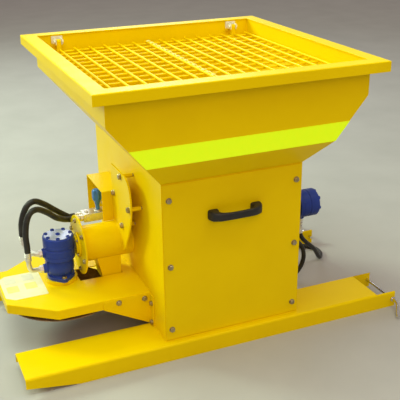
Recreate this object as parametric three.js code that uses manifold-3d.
// Fork-mounted hydraulic hopper spreader: a square hopper with a hinged safety grid stands on a
// housing with an auger in its bottom. The auger pushes the load through a tube on the left, and a
// spinning disc under a half-octagon hood throws it out. Two orbital motors drive auger and disc.
// Millimetres, +Z up, +X along the fork channels towards the carrier, cover panel facing -Y.
import * as THREE from 'three';
import { mergeVertices } from 'three/addons/utils/BufferGeometryUtils.js';
import Module from 'manifold-3d';

const wasm = await Module();
wasm.setup();

// ---- Driving dimensions -------------------------------------------------------------------
const gap = 0.3;                 // clearance between two pieces that touch
const centreShift = 35;          // puts the origin under the middle of the channels' length

// Hopper and rim
const rimHalf = 500;
const rimTop = 1000;
const rimLip = 36;
const rimSheet = 4;
const rimInnerHalf = 447;
const hopperHalf = 453;          // outside of the upright band
const hopperSheet = 3;
const sideBreak = 881;           // the left and right walls slope inwards below this height
const frontBreak = 737;          // the front and back walls slope inwards below this height
const stripTop = 801;
const stripThick = 1;

// Housing under the hopper
const boxHalfX = 259;
const boxHalfY = 372;
const boxTop = 648;
const boxBottom = 64.3;
const boxSheet = 4;
const coverHalf = 256;
const coverBottom = 70;
const coverTop = 645;
const coverSheet = 3;
const boltX = 235;
const boltHeights = [590, 350, 110];

// Safety grid
const gridPitch = 58;
const gridBar = 10;
const gridSeam = 16;
const gridSeamAt = -7;
const gridHalf = 438;
const gridEdge = 10;
const gridHeight = 940;
const gridThick = 6;
const hingeX = 370;
const hingeY = 425;
const hingeZ = 975;
const hingePinRadius = 5;

// Auger, tube and discharge
const axisZ = 314;               // height of the auger's axis, on the centre line y = 0
const tubeRadius = 66.5;
const tubeWall = 4;
const tubeEnd = -447;
const endFlangeRadius = 110;
const endFlangeThick = 6;
const augerRadius = 57;
const augerPitch = 110;
const shaftRadius = 16;
const plateFace = -306;          // outer face of the discharge plate
const plateThick = 6;
const troughRadius = 64;
const troughTop = 560;

// Spinner
const spinnerX = -525;
const hoodTop = 190;
const hoodSheet = 4;
const hoodLip = 35;
const hoodHalf = 228;
const hoodCornerX = -592;
const hoodNoseX = -747;
const hoodNoseHalf = 112;
const discRadius = 207;
const discZ = 130;
const discThick = 4;
const vaneHeight = 20;
const vaneCount = 6;

// Fork channels
const channelInner = 225;
const channelOuter = 400;
const channelHeight = 64;
const channelSheet = 5;
const channelLeft = -752;
const channelTopRight = 599;
const channelRight = 682;
const noseLength = 181;
const noseRise = 28;
const heelPinX = 670;
const heelPinZ = 33;
const heelPinRadius = 6;

// Orbital motors, measured from the mounting face
const motorLength = 178;
const motorRadius = 56.5;
const motorShaftRadius = 12.5;
const portOffsets = [53, 115];
const portReach = 62;
const standLength = 106;

// Hydraulic lines
const hoseRadius = 9;
const motorHoseRadius = 11;
const pipeRadius = 6;
const coilInner = 84;
const coilOuter = 120;
const floorLine = 9.8;           // height of a hose's centre line where it lies on the ground
const bendRadius = 80;
const supplyCoil = [360, 76];    // behind the housing, on the motor's side
const returnCoil = [110, 74.5];  // under the housing, between the fork channels

// ---- Materials ----------------------------------------------------------------------------
const paint = new THREE.MeshStandardMaterial({ color: 0xf0c400, roughness: 0.35, metalness: 0.1 });
const motorPaint = new THREE.MeshStandardMaterial({ color: 0x1c2c8c, roughness: 0.35, metalness: 0.2 });
const zinc = new THREE.MeshStandardMaterial({ color: 0xb9b6a8, roughness: 0.4, metalness: 0.9 });
const chrome = new THREE.MeshStandardMaterial({ color: 0xd8d8d8, roughness: 0.15, metalness: 1 });
const steel = new THREE.MeshStandardMaterial({ color: 0x6e6c68, roughness: 0.45, metalness: 0.9 });
const rubber = new THREE.MeshStandardMaterial({ color: 0x151515, roughness: 0.6, metalness: 0 });
const blackPlastic = new THREE.MeshStandardMaterial({ color: 0x181818, roughness: 0.5, metalness: 0 });
const bluePlastic = new THREE.MeshStandardMaterial({ color: 0x3c7cc8, roughness: 0.4, metalness: 0 });
const hiVis = new THREE.MeshStandardMaterial({ color: 0xdcff00, roughness: 0.4, metalness: 0 });

// ---- Geometry helpers ---------------------------------------------------------------------
const root = new THREE.Group();
root.position.x = centreShift;

function solid(geometry) {
  const bare = geometry.clone();
  bare.deleteAttribute('normal');
  bare.deleteAttribute('uv');
  const merged = mergeVertices(bare, 1e-3);
  return new wasm.Manifold(new wasm.Mesh({
    numProp: 3,
    vertProperties: new Float32Array(merged.attributes.position.array),
    triVerts: new Uint32Array(merged.index.array),
  }));
}

function place(name, body, material, parent = root) {
  const { vertProperties, triVerts } = body.getMesh();
  const geometry = new THREE.BufferGeometry();
  geometry.setAttribute('position', new THREE.BufferAttribute(vertProperties, 3));
  geometry.setIndex(new THREE.BufferAttribute(triVerts, 1));
  const mesh = new THREE.Mesh(geometry, material);
  mesh.name = name;
  parent.add(mesh);
  return mesh;
}

function block(x0, x1, y0, y1, z0, z1) {
  const geometry = new THREE.BoxGeometry(x1 - x0, y1 - y0, z1 - z0);
  geometry.translate((x0 + x1) / 2, (y0 + y1) / 2, (z0 + z1) / 2);
  return solid(geometry);
}

// An outline pulled along one axis. alongX takes [y, z] points, alongY [x, z] and alongZ [x, y].
function pull(points, length, basis, shift) {
  const shape = new THREE.Shape(points.map(([u, v]) => new THREE.Vector2(u, v)));
  const geometry = new THREE.ExtrudeGeometry(shape, { depth: length, bevelEnabled: false });
  geometry.applyMatrix4(new THREE.Matrix4().makeBasis(...basis));
  geometry.translate(...shift);
  return solid(geometry);
}

const X = new THREE.Vector3(1, 0, 0);
const Y = new THREE.Vector3(0, 1, 0);
const Z = new THREE.Vector3(0, 0, 1);
const backwards = new THREE.Vector3(0, -1, 0);

function alongX(points, x0, x1) {
  return pull(points, x1 - x0, [Y, Z, X], [x0, 0, 0]);
}

function alongY(points, y0, y1) {
  return pull(points, y1 - y0, [X, Z, backwards], [0, y1, 0]);
}

function alongZ(points, z0, z1) {
  return pull(points, z1 - z0, [X, Y, Z], [0, 0, z0]);
}

function ring(radius, u = 0, v = 0, sides = 24, start = 0) {
  return Array.from({ length: sides }, (_, i) => {
    const angle = start + (2 * Math.PI * i) / sides;
    return [u + radius * Math.cos(angle), v + radius * Math.sin(angle)];
  });
}

function arc(radius, u, v, from, to, steps) {
  return Array.from({ length: steps + 1 }, (_, i) => {
    const angle = from + ((to - from) * i) / steps;
    return [u + radius * Math.cos(angle), v + radius * Math.sin(angle)];
  });
}

// A turned body around +Z from [radius, height] points that start and end on the axis.
function turned(profile, sides = 24) {
  const geometry = new THREE.LatheGeometry(profile.map(([r, z]) => new THREE.Vector2(r, z)), sides);
  geometry.rotateX(Math.PI / 2);
  return solid(geometry);
}

function pipe(points, radius, steps, sides = 8) {
  const path = new THREE.CatmullRomCurve3(points.map((p) => new THREE.Vector3(...p)), false, 'centripetal');
  const shape = new THREE.Shape(ring(radius, 0, 0, sides).map(([u, v]) => new THREE.Vector2(u, v)));
  return solid(new THREE.ExtrudeGeometry(shape, { extrudePath: path, steps, bevelEnabled: false }));
}

// A hex head with its washer and shank. The washer's face lies at z = 0 and the shank hangs below.
function hexBolt(acrossCorners, headHeight, washerRadius, shank, shankLength) {
  const washer = alongZ(ring(washerRadius, 0, 0, 16), 0, 2);
  const head = alongZ(ring(acrossCorners, 0, 0, 6), 1, 2 + headHeight);
  const rod = alongZ(ring(shank, 0, 0, 10), -shankLength, 1);
  return washer.add(head).add(rod);
}

const towardsFront = [90, 0, 0];   // turns +Z to -Y
const towardsLeft = [0, -90, 0];   // turns +Z to -X

// ---- Hopper -------------------------------------------------------------------------------
const hopperTop = rimTop - rimSheet - gap;

function hopperBody(halfTop, halfX, halfY, top, bottom) {
  const across = [[-halfTop, top], [-halfTop, sideBreak], [-halfX, boxTop + gap], [-halfX, bottom],
    [halfX, bottom], [halfX, boxTop + gap], [halfTop, sideBreak], [halfTop, top]];
  const deep = [[-halfTop, top], [-halfTop, frontBreak], [-halfY, boxTop + gap], [-halfY, bottom],
    [halfY, bottom], [halfY, boxTop + gap], [halfTop, frontBreak], [halfTop, top]];
  const front = alongY(across, -rimHalf, rimHalf);
  const side = alongX(deep, -rimHalf, rimHalf);
  return front.intersect(side);
}

function addHopper() {
  const slopeSheet = 4;            // the sheet measured level across a sloping wall
  const base = boxTop + gap;
  const collar = block(-rimHalf, rimHalf, -rimHalf, rimHalf, base, rimTop);
  const outside = hopperBody(hopperHalf, boxHalfX, boxHalfY, hopperTop, base - 10).intersect(collar);
  const inside = hopperBody(hopperHalf - hopperSheet, boxHalfX - slopeSheet, boxHalfY - slopeSheet,
    rimTop, base - 20);
  place('hopper', outside.subtract(inside), paint);

  const outer = block(-rimHalf, rimHalf, -rimHalf, rimHalf, rimTop - rimLip, rimTop);
  const underHalf = rimHalf - rimSheet;
  const under = block(-underHalf, underHalf, -underHalf, underHalf, rimTop - rimLip - 1, rimTop - rimSheet);
  const mouth = block(-rimInnerHalf, rimInnerHalf, -rimInnerHalf, rimInnerHalf, 0, rimTop + 1);
  place('hopper_rim', outer.subtract(under).subtract(mouth), paint);
}

function hopperHalfAt(height) {
  const slope = (hopperHalf - boxHalfX) / (sideBreak - boxTop - gap);
  return hopperHalf - (sideBreak - height) * slope;
}

function addHiVisStrip() {
  const low = frontBreak + 1;
  const face = -hopperHalf - gap;
  const outline = [[-hopperHalfAt(low), low], [hopperHalfAt(low), low],
    [hopperHalfAt(stripTop), stripTop], [-hopperHalfAt(stripTop), stripTop]];
  place('hi_vis_strip', alongY(outline, face - stripThick, face), hiVis);
}

// ---- Safety grid --------------------------------------------------------------------------
// A flat lattice of crossing bars, made cell by cell. Odd cells in both rows are open.
function lattice(columns, rows, low, high) {
  const positions = [];
  const faces = [];
  const wide = columns.length;
  const deep = rows.length;
  for (const z of [low, high]) {
    for (const y of rows) {
      for (const x of columns) {
        positions.push(x, y, z);
      }
    }
  }
  const at = (i, j, top) => top * wide * deep + j * wide + i;
  const barAt = (i, j) => i >= 0 && j >= 0 && i < wide - 1 && j < deep - 1 && (i % 2 === 0 || j % 2 === 0);
  const quad = (a, b, c, d) => faces.push(a, b, c, a, c, d);
  for (let j = 0; j < deep - 1; j += 1) {
    for (let i = 0; i < wide - 1; i += 1) {
      if (!barAt(i, j)) continue;
      quad(at(i, j, 1), at(i + 1, j, 1), at(i + 1, j + 1, 1), at(i, j + 1, 1));
      quad(at(i, j + 1, 0), at(i + 1, j + 1, 0), at(i + 1, j, 0), at(i, j, 0));
      if (!barAt(i, j - 1)) quad(at(i, j, 0), at(i + 1, j, 0), at(i + 1, j, 1), at(i, j, 1));
      if (!barAt(i, j + 1)) quad(at(i + 1, j + 1, 0), at(i, j + 1, 0), at(i, j + 1, 1), at(i + 1, j + 1, 1));
      if (!barAt(i - 1, j)) quad(at(i, j + 1, 0), at(i, j, 0), at(i, j, 1), at(i, j + 1, 1));
      if (!barAt(i + 1, j)) quad(at(i + 1, j, 0), at(i + 1, j + 1, 0), at(i + 1, j + 1, 1), at(i + 1, j, 1));
    }
  }
  const geometry = new THREE.BufferGeometry();
  geometry.setAttribute('position', new THREE.Float32BufferAttribute(positions, 3));
  geometry.setIndex(faces);
  return solid(geometry);
}

function barEdges(middles) {
  const edges = [-gridHalf, gridEdge - gridHalf];
  for (const middle of middles) {
    const half = middle === gridSeamAt ? gridSeam / 2 : gridBar / 2;
    edges.push(middle - half, middle + half);
  }
  edges.push(gridHalf - gridEdge, gridHalf);
  return edges;
}

// The two mesh halves have slightly different column pitches and meet at a welded seam.
function columnMiddles() {
  const middles = [gridSeamAt];
  for (let i = 1; i <= 6; i += 1) {
    middles.unshift(gridSeamAt - 60 * i);
  }
  for (let i = 1; i <= 7; i += 1) {
    middles.push(gridSeamAt + 55 * i);
  }
  return middles;
}

function rowMiddles() {
  const middles = [];
  for (let i = -7; i <= 7; i += 1) {
    middles.push(14 + gridPitch * i);
  }
  return middles;
}

function addGrid() {
  const low = gridHeight - gridThick / 2;
  const high = gridHeight + gridThick / 2;
  let body = lattice(barEdges(columnMiddles()), barEdges(rowMiddles()), low, high);
  for (const side of [-1, 1]) {
    const x = side * hingeX;
    const eye = alongX(ring(10, hingeY, hingeZ, 16), x - 9, x + 9);
    const arm = block(x - 9, x + 9, hingeY - 8, hingeY + 8, gridHeight, hingeZ);
    const bore = alongX(ring(hingePinRadius + gap, hingeY, hingeZ, 12), x - 10, x + 10);
    body = body.add(eye.add(arm)).subtract(bore);
  }
  place('safety_grid', body, paint);
}

function addGridHinge(side, label) {
  const x = side * hingeX;
  const wall = hopperHalf - hopperSheet - gap;
  const base = block(x - 22, x + 22, wall - 4, wall, 953, 993);
  const ears = block(x - 13, x + 13, hingeY - 12, wall - 3, hingeZ - 12, hingeZ + 12);
  const between = block(x - 9.5, x + 9.5, hingeY - 20, wall - 4, hingeZ - 20, hingeZ + 20);
  const bore = alongX(ring(hingePinRadius + gap, hingeY, hingeZ, 12), x - 20, x + 20);
  place(`grid_hinge_bracket_${label}`, base.add(ears.subtract(between)).subtract(bore), zinc);

  const rod = alongX(ring(hingePinRadius, hingeY, hingeZ, 12), x - 15, x + 15);
  const heads = [-1, 1].map((end) => {
    const from = x + end * 16 - 2.6;
    return alongX(ring(9, hingeY, hingeZ, 6), from, from + 5.2);
  });
  place(`grid_hinge_pin_${label}`, rod.add(heads[0]).add(heads[1]), zinc);
}

function addGridRest() {
  const wall = -(hopperHalf - hopperSheet - gap);
  place('grid_rest_ledge', block(-400, 400, wall, wall + 20, 928, gridHeight - gridThick / 2 - gap), paint);
}

// ---- Housing ------------------------------------------------------------------------------
const studPlaces = [[-88, 587], [-170, 491], [-85, 398], [1, 494]];

function addHousing() {
  const wall = boxHalfX - boxSheet;
  const deepWall = boxHalfY - boxSheet;
  let body = block(-boxHalfX, boxHalfX, -boxHalfY, boxHalfY, boxBottom, boxTop);
  body = body.subtract(block(-wall, wall, -deepWall, deepWall, boxBottom + boxSheet, boxTop + 1));
  body = body.subtract(block(-215, 215, -boxHalfY - 1, -deepWall + 1, 90, 625));
  body = body.subtract(block(-215, 215, -210, 210, boxBottom - 1, boxBottom + boxSheet + 1));
  body = body.subtract(alongX(ring(tubeRadius - tubeWall, 0, axisZ), -boxHalfX - 1, -wall + 1));
  body = body.subtract(alongX(ring(30, 0, axisZ), wall - 1, boxHalfX + 1));
  for (const [y, z] of studPlaces) {
    body = body.subtract(alongX(ring(6.5, y, z, 12), -boxHalfX - 1, -wall + 1));
  }
  for (const z of boltHeights) {
    for (const x of [-boltX, boltX]) {
      body = body.subtract(alongY(ring(5.5, x, z, 12), -boxHalfY - 1, -deepWall + 1));
    }
  }
  place('box_housing', body, paint);
}

// The trough's outline: two slopes that run tangent into a half-round bottom.
function troughHalf(topY, radius) {
  const rise = troughTop - axisZ;
  const reach = Math.hypot(topY, rise);
  const toTop = Math.atan2(rise, topY);
  const tangent = toTop - Math.acos(radius / reach);
  return tangent;
}

function addTrough() {
  const innerTop = boxHalfY - boxSheet - 6;
  const outerTop = boxHalfY - boxSheet - 1;
  const innerAngle = troughHalf(innerTop, troughRadius);
  const outerAngle = troughHalf(outerTop, troughRadius + 3);
  const inner = arc(troughRadius, 0, axisZ, innerAngle, -Math.PI - innerAngle, 12);
  const outer = arc(troughRadius + 3, 0, axisZ, -Math.PI - outerAngle, outerAngle, 12);
  const outline = [[innerTop, troughTop], ...inner, [-innerTop, troughTop],
    [-outerTop, troughTop], ...outer, [outerTop, troughTop]];
  const end = boxHalfX - boxSheet - gap;
  place('auger_trough', alongX(outline, -end, end), paint);
}

function addCover() {
  const face = -boxHalfY - gap;
  let body = block(-coverHalf, coverHalf, face - coverSheet, face, coverBottom, coverTop);
  let number = 1;
  for (const z of boltHeights) {
    for (const x of [-boltX, boltX]) {
      body = body.subtract(alongY(ring(5.5, x, z, 12), face - coverSheet - 1, face + 1));
      const bolt = hexBolt(9.5, 6.5, 10.5, 5, 18);
      const mesh = place(`cover_bolt_${number}`, bolt.rotate(towardsFront), zinc);
      mesh.position.set(x, face - coverSheet - gap, z);
      number += 1;
    }
  }
  place('cover_panel', body, paint);
}

function addHandle() {
  const face = -boxHalfY - coverSheet - 2 * gap;
  const half = 98.5;
  const outline = [[-half, face], [-half + 4, face - 22], [-half + 22, face - 38], [-30, face - 46],
    [30, face - 46], [half - 22, face - 38], [half - 4, face - 22], [half, face],
    [half - 40, face], [half - 45, face - 16], [25, face - 32], [-25, face - 32],
    [-half + 45, face - 16], [-half + 40, face]];
  const middle = 516;
  const bow = alongZ(outline, middle - 13, middle + 13);
  const left = block(-half, -half + 40, face - 10, face, middle - 18, middle + 18);
  const right = block(half - 40, half, face - 10, face, middle - 18, middle + 18);
  place('cover_handle', bow.add(left).add(right), blackPlastic);
}

// ---- Fork channels ------------------------------------------------------------------------
function addChannel(side, label) {
  const y0 = side > 0 ? channelInner : -channelOuter;
  const y1 = side > 0 ? channelOuter : -channelInner;
  const outline = [[channelLeft, noseRise], [channelLeft + noseLength, 0], [channelRight, 0],
    [channelRight, channelHeight], [channelLeft, channelHeight]];
  let body = alongY(outline, y0, y1);
  body = body.subtract(block(channelLeft - 1, channelRight + 1, y0 + channelSheet, y1 - channelSheet,
    -1, channelHeight - channelSheet));
  body = body.subtract(block(channelTopRight, channelRight + 1, y0 + channelSheet, y1 - channelSheet,
    0, channelHeight + 1));
  body = body.subtract(alongY(ring(heelPinRadius + 0.8, heelPinX, heelPinZ, 16), y0 - 1, y1 + 1));
  place(`fork_channel_${label}`, body, paint);

  const outside = side * (channelOuter + 24);
  const inside = side * (channelInner - 14);
  const tail = [[heelPinX, inside, heelPinZ], [heelPinX, side * 300, heelPinZ],
    [heelPinX, side * (channelOuter + 6), heelPinZ], [heelPinX, outside, heelPinZ], [heelPinX - 3, side * (channelOuter + 38), heelPinZ - 4],
    [heelPinX - 12, side * (channelOuter + 52), heelPinZ - 12],
    [heelPinX - 38, side * (channelOuter + 92), heelPinRadius + 2]];
  place(`heel_pin_${label}`, pipe(tail, heelPinRadius, 18, 10), chrome);
}

// ---- Discharge plate, tube and spout ------------------------------------------------------
function addDischarge() {
  const topZ = 600;
  const leftY = 25.5;
  // The plate ends in a tip beside the tube and is cut round the tube's upper half.
  const outline = [[leftY, topZ], [-128, topZ], [-152, 592], [-172, 576], [-184, 552], [-190, 522],
    [-190, 490], [-182, 455], [-168, 420], [-149, 384], [-125, 349], [-106, 318], [-98, 307], [-88, 302],
    [-76, 303], [-60, 308], [20, 358], [leftY, 370]];
  let plate = alongX(outline, plateFace, plateFace + plateThick);
  plate = plate.subtract(alongX(ring(tubeRadius + gap, 0, axisZ), plateFace - 1, 0));
  studPlaces.forEach(([y, z], i) => {
    plate = plate.subtract(alongX(ring(6.5, y, z, 12), plateFace - 1, 0));
    const stud = place(`plate_stud_${i + 1}`, hexBolt(10.5, 7, 11.5, 6, 54).rotate(towardsLeft), zinc);
    stud.position.set(plateFace - gap, y, z);
  });
  place('discharge_plate', plate, paint);

  const right = -boxHalfX - gap;
  const spoutFrom = -392;
  const spoutTo = -312;
  let tube = alongX(ring(tubeRadius, 0, axisZ), tubeEnd - 1, right);
  tube = tube.add(alongX(ring(endFlangeRadius, 0, axisZ, 40), tubeEnd - endFlangeThick, tubeEnd));
  tube = tube.subtract(alongX(ring(tubeRadius - tubeWall, 0, axisZ), tubeEnd, 0));
  tube = tube.subtract(alongX(ring(shaftRadius + 2, 0, axisZ), tubeEnd - 20, 0));
  tube = tube.subtract(block(spoutFrom, spoutTo, -38, 38, axisZ - 80, axisZ));
  place('discharge_tube', tube, paint);

  // The spout narrows from the tube's underside to the opening in the hood.
  const topHalf = 44;
  const wall = 3;
  const low = 168;
  const outside = alongY([[-402, 290], [-376, low], [-307, low], [-307, 290]], -topHalf, topHalf);
  const inside = alongY([[-402 + wall, 300], [-376 + wall, low - 1], [-307 - wall, low - 1],
    [-307 - wall, 300]], -topHalf + wall, topHalf - wall);
  const seat = alongX(ring(tubeRadius + gap, 0, axisZ, 24), -500, -200);
  place('outlet_spout', outside.subtract(inside).subtract(seat), paint);
}

// ---- Spinner ------------------------------------------------------------------------------
function addHood() {
  const right = -boxHalfX - gap;
  const half = hoodHalf;
  const outline = (inset, end) => [[end, half - inset], [hoodCornerX, half - inset],
    [hoodNoseX + inset, hoodNoseHalf - inset / 2], [hoodNoseX + inset, -hoodNoseHalf + inset / 2],
    [hoodCornerX, -half + inset], [end, -half + inset]];
  let body = alongZ(outline(0, right), hoodTop - hoodLip, hoodTop);
  body = body.subtract(alongZ(outline(hoodSheet, 0), hoodTop - hoodLip - 1, hoodTop - hoodSheet));
  body = body.subtract(alongZ(ring(41, spinnerX, 0), 0, hoodTop + 1));
  body = body.subtract(block(-466, -303, -48, 48, 0, hoodTop + 1));
  place('spinner_hood', body, paint);

  for (const [side, label] of [[-1, 'front'], [1, 'rear']]) {
    const near = side * (half + gap);
    const far = side * (half + gap + hoodSheet);
    const web = alongY([[-434, hoodTop - hoodLip], [right - hoodSheet, 64], [right, 64],
      [right, hoodTop - 4], [-434, hoodTop - 4]], Math.min(near, far), Math.max(near, far));
    const tab = side * (half + 38);
    const foot = block(right - hoodSheet, right, Math.min(near, tab), Math.max(near, tab), 64, hoodTop - 4);
    place(`hood_bracket_${label}`, web.add(foot), paint);
  }
}

function addRotor() {
  const top = discZ + discThick;
  let body = alongZ(ring(discRadius, 0, 0, 48), discZ, top);
  body = body.add(turned([[0, top - 1], [34, top - 1], [34, top + 12], [20, top + 22], [20, hoodTop - 14],
    [motorShaftRadius - gap, hoodTop - 14], [motorShaftRadius - gap, hoodTop + 20], [0, hoodTop + 20]], 20));
  for (let i = 0; i < vaneCount; i += 1) {
    const vane = block(50, discRadius - 6, -2, 2, top - 1, top + vaneHeight);
    body = body.add(vane.rotate([0, 0, (360 * i) / vaneCount]));
  }
  const mesh = place('spinner_disc', body, steel);
  mesh.position.x = spinnerX;
}

// ---- Orbital motor: shaft along +Z of its own group, mounting face at z = 0, ports on -X --------
function motorBody() {
  const ear = 53.2;
  const flange = alongZ([...arc(50, 0, 0, -0.85, 0.85, 6), ...arc(13, 0, ear, 0.5, Math.PI - 0.5, 5),
    ...arc(50, 0, 0, Math.PI - 0.85, Math.PI + 0.85, 6), ...arc(13, 0, -ear, Math.PI + 0.5, 2 * Math.PI - 0.5, 5)],
  0, 22);
  const housing = turned([[0, 0.5], [46, 0.5], [46, 24], [50, 32], [50, 74], [46, 82], [46, 88],
    [motorRadius, 90], [motorRadius, 132], [motorRadius - 2, 134], [motorRadius - 2, 140],
    [motorRadius, 142], [motorRadius, motorLength - 5], [motorRadius - 5, motorLength], [0, motorLength]], 24);
  let body = flange.add(housing);
  for (const offset of portOffsets) {
    const boss = alongX(ring(17, 0, offset, 12), -portReach, -20);
    body = body.add(boss);
  }
  for (let i = 0; i < 7; i += 1) {
    const screw = alongZ(ring(6.5, 43, 0, 6), motorLength - 1, motorLength + 5);
    body = body.add(screw.rotate([0, 0, (360 * (i + 0.5)) / 7]));
  }
  return body.subtract(alongZ(ring(motorShaftRadius, 0, 0, 20), -1, 40));
}

// Each elbow leaves its port level and ends pointing straight up, where the hose is crimped on.
function portElbow(bend, end) {
  const mouth = [-portReach - gap, 0, 0];
  const straight = [-portReach - 18, 0, 0];
  const below = [end[0], end[1], end[2] - 14];
  const tube = pipe([mouth, straight, ...bend, below, end], 8.5, 16, 10);
  const nut = alongX(ring(14, 0, 0, 6), -portReach - 14, -portReach - gap);
  return tube.add(nut);
}

const elbowEnds = [[-115, -12, 80], [-117, 58, 54]];
const elbowBends = [[[-106, -6, 6], [-114, -11, 26]], [[-94, 10, 2], [-108, 36, 10], [-115, 52, 24]]];

function addSpinnerMotor() {
  const group = new THREE.Group();
  group.position.set(spinnerX, 0, hoodTop + gap);
  root.add(group);
  place('spinner_motor', motorBody(), motorPaint, group);
  portOffsets.forEach((offset, i) => {
    const elbow = place(`spinner_port_elbow_${i + 1}`, portElbow(elbowBends[i], elbowEnds[i]), zinc, group);
    elbow.position.z = offset;
  });
}

function addMotorHoses() {
  const starts = elbowEnds.map(([x, y, z], i) => [spinnerX + x, y, hoodTop + 2 * gap + portOffsets[i] + z]);
  const over = (start, rise) => [start[0], start[1], start[2] + rise];
  const [low, high] = valvePorts;
  const end = valveX[0] - 24 - gap;
  const supply = [starts[0], over(starts[0], 20), [-641, -12, 391], [-631, -10, 446], [-614, -4, 472],
    [-589, 6, 475], [-556, 24, 453], [-516, 52, 413], [-490, 80, 391], [-474, 98, 379],
    [-460, 109, 372], [-447, low, portZ + 1],
    [end - 10, low, portZ], [end, low, portZ]];
  const back = [starts[1], over(starts[1], 16), [-640, 58, 408], [-628, 59, 448], [-610, 62, 475],
    [-585, 68, 482], [-552, 80, 463], [-512, 98, 427], [-490, 112, 406], [-470, 128, 387],
    [-455, 136, 374], [-446, high, portZ + 1],
    [end - 10, high, portZ], [end, high, portZ]];
  place('spinner_hose_supply', pipe(supply, motorHoseRadius, 40), rubber);
  place('spinner_hose_return', pipe(back, motorHoseRadius, 40), rubber);
}

// ---- Auger, bearings and drive ------------------------------------------------------------
// The flight is a flat ribbon wound round the shaft, with its root sunk into the shaft.
function flight(x0, x1, inner, outer, pitch, thick, perTurn) {
  const steps = Math.round(((x1 - x0 - thick) / pitch) * perTurn);
  const positions = [];
  const faces = [];
  for (let i = 0; i <= steps; i += 1) {
    const angle = (2 * Math.PI * i) / perTurn;
    const x = x0 + (pitch * i) / perTurn;
    for (const [r, shift] of [[inner, 0], [outer, 0], [outer, thick], [inner, thick]]) {
      positions.push(x + shift, r * Math.cos(angle), axisZ + r * Math.sin(angle));
    }
  }
  const side = (a, b, c, d) => faces.push(a, b, c, a, c, d);
  for (let i = 0; i < steps; i += 1) {
    const here = 4 * i;
    for (let k = 0; k < 4; k += 1) {
      const next = (k + 1) % 4;
      side(here + k, here + 4 + k, here + 4 + next, here + next);
    }
  }
  const last = 4 * steps;
  side(0, 1, 2, 3);
  side(last + 3, last + 2, last + 1, last);
  const geometry = new THREE.BufferGeometry();
  geometry.setAttribute('position', new THREE.Float32BufferAttribute(positions, 3));
  geometry.setIndex(faces);
  return solid(geometry);
}

const motorFace = boxHalfX + gap + standLength;

function addAuger() {
  const shaftEnd = tubeEnd - endFlangeThick - 11;
  const sides = 16;
  const shaft = alongX(ring(shaftRadius, 0, axisZ, sides, Math.PI / sides), shaftEnd, boxHalfX + 62);
  const ribbon = flight(-425, 232, shaftRadius - 4, augerRadius, augerPitch, 5, sides);
  place('auger', shaft.add(ribbon), steel);

  const coupling = alongX(ring(27, 0, axisZ, 20), boxHalfX + 62 + gap, motorFace - 20);
  const spigot = alongX(ring(motorShaftRadius - gap, 0, axisZ, 20), motorFace - 21, motorFace + 20);
  place('shaft_coupling', coupling.add(spigot), steel);
}

function addBearings() {
  const outer = tubeEnd - endFlangeThick - gap;
  const bore = alongX(ring(shaftRadius + gap, 0, axisZ, 20), -600, 600);
  const foot = alongX(ring(46, 0, axisZ, 20), outer - 7, outer);
  const cup = alongX(ring(34, 0, axisZ, 20), outer - 13, outer - 6);
  place('outboard_bearing', foot.add(cup).subtract(bore), paint);
  const face = boxHalfX + gap;
  const plate = alongX(ring(46, 0, axisZ, 20), face, face + 11);
  const boss = alongX(ring(34, 0, axisZ, 20), face + 10, face + 32);
  place('inboard_bearing', plate.add(boss).subtract(bore), steel);
}

function addMotorStand() {
  const x0 = boxHalfX + gap;
  const x1 = motorFace - gap;
  let body = alongX(ring(68, 0, axisZ, 28), x0, x1);
  body = body.add(alongX(ring(88, 0, axisZ, 28), x0, x0 + 8));
  body = body.add(alongX(ring(84, 0, axisZ, 28), x1 - 8, x1));
  body = body.subtract(alongX(ring(62, 0, axisZ, 28), x0 - 1, x1 - 9));
  body = body.subtract(alongX(ring(40, 0, axisZ, 28), x0 - 1, x1 + 1));
  body = body.subtract(block(x0 + 26, x1 - 24, -45, 45, axisZ, axisZ + 100));
  place('motor_stand', body, paint);
}

function addAugerMotor() {
  const group = new THREE.Group();
  group.position.set(motorFace, 0, axisZ);
  group.rotation.y = Math.PI / 2;
  group.rotation.z = 0;
  root.add(group);
  const turn = [0, 0, 180];        // ports to +X of the group, which points down on the machine
  place('auger_motor', motorBody().rotate(turn), motorPaint, group);
  portOffsets.forEach((offset, i) => {
    const nut = alongX(ring(14, 0, offset, 6), portReach + gap, portReach + 14);
    const stem = alongX(ring(8.5, 0, offset, 10), portReach + 13, portReach + 34);
    place(`auger_port_fitting_${i + 1}`, nut.add(stem), zinc, group);
  });
}

// ---- Flow control valve -------------------------------------------------------------------
const valveX = [-401, -262.6];
const valveY = [98, 153];
const valveLow = 351;
const valveHigh = 383;
const valvePorts = [112, 139];
const portZ = 367;
const knobX = -338;
const knobY = 125;
const pipeEnds = [-290, -272];   // where the two steel pipes enter the back of the valve

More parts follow.
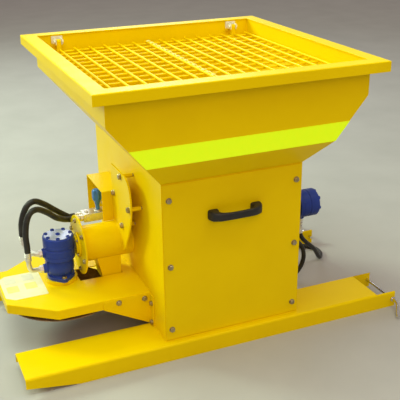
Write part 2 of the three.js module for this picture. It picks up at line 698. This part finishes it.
function addValve() {
  const near = 26;
  const far = 230;
  const wall = 3;
  const farLow = 335;
  const [left, right] = valveX;
  let body = block(left, right, valveY[0], valveY[1], valveLow, valveHigh);
  for (const y of valvePorts) {
    const nut = alongX(ring(13, y, portZ, 6), left - 16, left + 1);
    const stem = alongX(ring(8.5, y, portZ, 10), left - 24, left - 15);
    body = body.add(nut).add(stem);
  }
  body = body.subtract(alongZ(ring(7, knobX, knobY, 12), valveHigh - 14, valveHigh + 1));
  place('valve_block', body, zinc);

  const knob = turned([[0, -12], [6, -12], [6, 4], [8, 6], [8, 22], [13, 40], [18, 48], [18.5, 56],
    [18.5, 76], [15, 84], [0, 86]], 16);
  const mesh = place('valve_knob', knob, bluePlastic);
  mesh.position.set(knobX, knobY, valveHigh);

  const end = -boxHalfX - gap;
  const roof = 493;
  let cowl = block(-346, end, near, far, cowlLow, roof);
  cowl = cowl.subtract(block(-347, end - wall, near + wall, far - wall, cowlLow - 1, roof - wall));
  cowl = cowl.add(block(-346, end, far - wall, far, farLow, cowlLow + 1));
  for (const x of pipeEnds) {
    cowl = cowl.subtract(alongY(ring(pipeRadius + 1, x, portZ, 12), far - wall - 1, far + 1));
  }
  cowl = cowl.subtract(block(plateFace - gap, plateFace + plateThick + gap, 0, near + wall + 1, 0, notchTop));
  place('valve_cowl', cowl, paint);
}

const notchTop = 387;
const cowlLow = 376;

function addPipes() {
  const back = boxHalfY + 14;
  const front = [[motorFace + portOffsets[0], 0, axisZ - portReach - 34 - gap],
    [motorFace + portOffsets[0], 0, 208], [motorFace + portOffsets[0], 4, 196],
    [motorFace + portOffsets[0], 24, 186],
    [motorFace + portOffsets[0], 200, 186], [motorFace + portOffsets[0], back - 10, 186],
    [motorFace + portOffsets[0] - 20, back + 14, 186], [300, back + 14, 186], [-214, back + 14, 186],
    [-236, back + 14, 196], [-240, back + 14, 220], [-240, back + 14, 330], [-245, back + 14, 356],
    [-262, back + 11, 366], [-281, back, portZ], [-290, back - 22, portZ], [-290, 300, portZ],
    [-290, valveY[1] + gap, portZ]];
  place('valve_pipe_supply', pipe(front, pipeRadius, 44), zinc);
  const rear = [[310, -25, 195], [310, 60, 195], [310, back - 24, 195], [300, back - 6, 190],
    [280, back, 164], [240, back, 160], [-196, back, 160], [-216, back, 168], [-222, back, 190],
    [-222, back, 330], [-227, back, 354], [-242, back - 1, 366], [-260, back - 5, portZ],
    [-271, back - 18, portZ], [-272, 320, portZ], [-272, valveY[1] + gap, portZ]];
  place('valve_pipe_return', pipe(rear, pipeRadius, 44), zinc);

  let union = block(boxHalfX + gap, 332, -80, -25 - gap, 180, 210);
  union = union.add(alongX(ring(13, -55, 195, 6), 331, 346));
  union = union.add(alongX(ring(8.5, -55, 195, 10), 345, 366));
  place('return_union', union, zinc);
}

// ---- Carrier hoses ------------------------------------------------------------------------
function coil(z0, z1) {
  const profile = [[coilInner, z0], [coilOuter, z0], [coilOuter, z1], [coilInner, z1], [coilInner, z0]];
  const geometry = new THREE.LatheGeometry(profile.map(([r, z]) => new THREE.Vector2(r, z)), 32);
  geometry.rotateX(Math.PI / 2);
  return solid(geometry);
}

function coupler() {
  return turned([[0, 0], [11, 0], [11, 22], [15, 24], [15, 56], [12, 60], [12, 74], [0, 74]], 14);
}

// Both hoses lie in a tidy coil for storage, and each coupler rests on top of its coil.
function addCarrierHoses() {
  const portX = motorFace + portOffsets[1];
  const lane = supplyCoil[1] + coilOuter + hoseRadius + 0.5;
  const turnX = 575;
  const supply = [[portX, 0, axisZ - portReach - 34 - gap], [portX, 0, 202], [485, 0, 178], [496, 1, 155],
    [516, 4, 132], [541, 10, 109], [567, 20, 84], [590, 34, 54], [611, 50, 25],
    ...arc(bendRadius, turnX, lane - bendRadius, -0.8, Math.PI / 2, 9).map(([x, y]) => [x, y, floorLine]),
    [turnX - 60, lane, floorLine], [(turnX + supplyCoil[0]) / 2, lane, floorLine],
    [supplyCoil[0] + 40, lane, floorLine], [supplyCoil[0] + gap, lane, floorLine]];
  place('carrier_hose_supply', pipe(supply, hoseRadius, 40), rubber);

  const unionEnd = 366 + gap;
  const unionY = -55;
  const unionZ = 195;
  const drop = (unionZ - floorLine) / 2;
  const back = [[unionEnd, unionY, unionZ],
    ...arc(drop, unionEnd + 14, floorLine + drop, Math.PI / 2, -Math.PI / 2, 12).map(([x, z]) => [x, unionY, z]),
    [unionEnd - 50, unionY, floorLine], [250, unionY, floorLine], [returnCoil[0] + 40, unionY, floorLine],
    [returnCoil[0] + gap, unionY, floorLine]];
  place('carrier_hose_return', pipe(back, hoseRadius, 34), rubber);

  [['return', returnCoil], ['supply', supplyCoil]].forEach(([label, [x, y]]) => {
    const low = floorLine - hoseRadius;
    const loops = place(`carrier_hose_${label}_coil`, coil(low, low + 2 * hoseRadius), rubber);
    loops.position.set(x, y, 0);
    const plug = place(`carrier_${label}_coupler`, coupler().rotate([0, 90, 0]), zinc);
    plug.position.set(x - 37, y - (coilInner + coilOuter) / 2, low + 2 * hoseRadius + gap + 15);
  });
}

addHopper();
addHiVisStrip();
addGrid();
addGridHinge(-1, 'left');
addGridHinge(1, 'right');
addGridRest();
addHousing();
addTrough();
addCover();
addHandle();
addChannel(-1, 'front');
addChannel(1, 'rear');
addDischarge();
addHood();
addRotor();
addSpinnerMotor();
addMotorHoses();
addAuger();
addBearings();
addMotorStand();
addAugerMotor();
addValve();
addPipes();
addCarrierHoses();

export default root;
